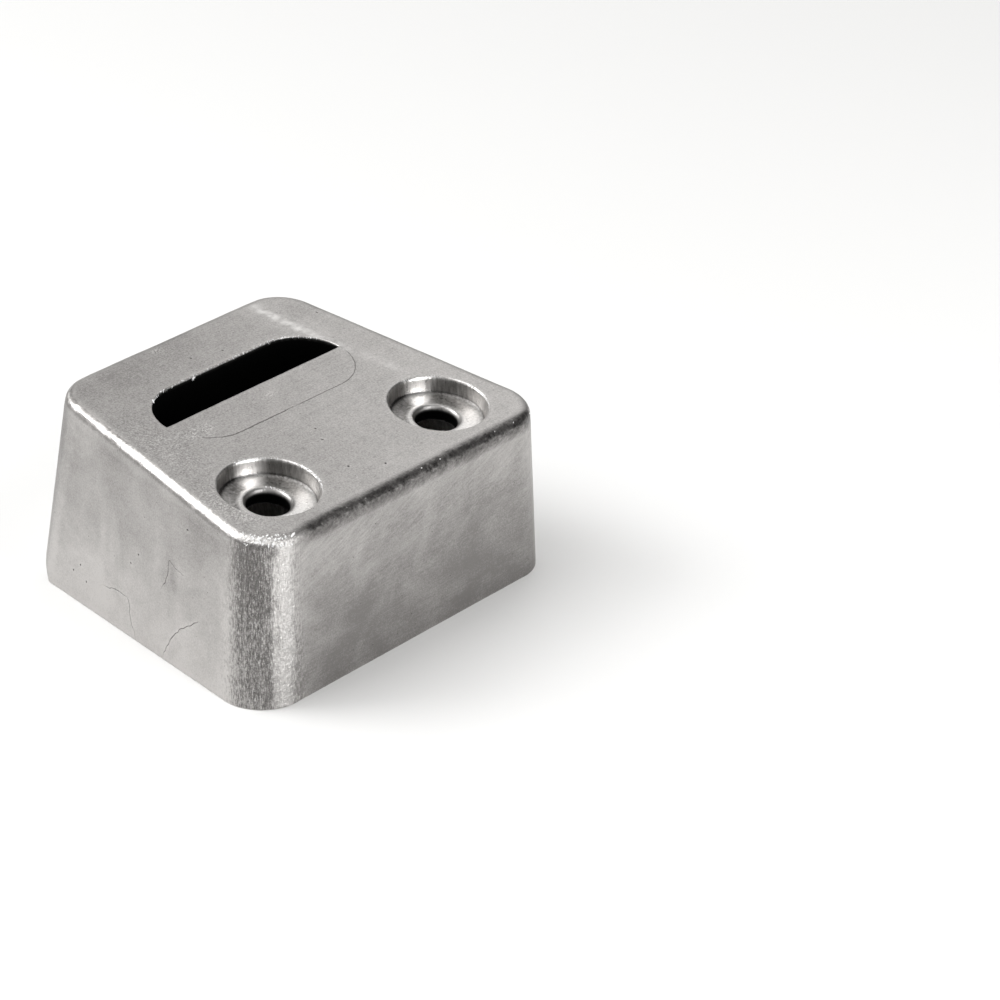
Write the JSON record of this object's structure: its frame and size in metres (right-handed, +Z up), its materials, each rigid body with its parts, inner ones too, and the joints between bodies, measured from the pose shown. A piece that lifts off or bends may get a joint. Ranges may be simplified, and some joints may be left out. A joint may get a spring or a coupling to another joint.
{
  "type": "sacrificial anode",
  "caption": "Sacrificial anode: a wedge-shaped hollow casting in bare aluminium alloy with counterbored screw holes, an offset slot and a ground open rim.",
  "frame": {"origin": "the middle of the rim's outline, on the ground rim plane (bounding box bottom centre)", "axes": "+X across the block along the line of the screw holes, +Y from the wide end to the narrow end, +Z up from the rim to the front face"},
  "size_m": [0.0638, 0.0558, 0.0328],
  "materials": {
    "anode_metal": "bare cast skin, satin grey, with ground rim and burnished edges"
  },
  "bodies": {
    "root": {"anode_block": "anode_metal"}
  },
  "joints": []
}
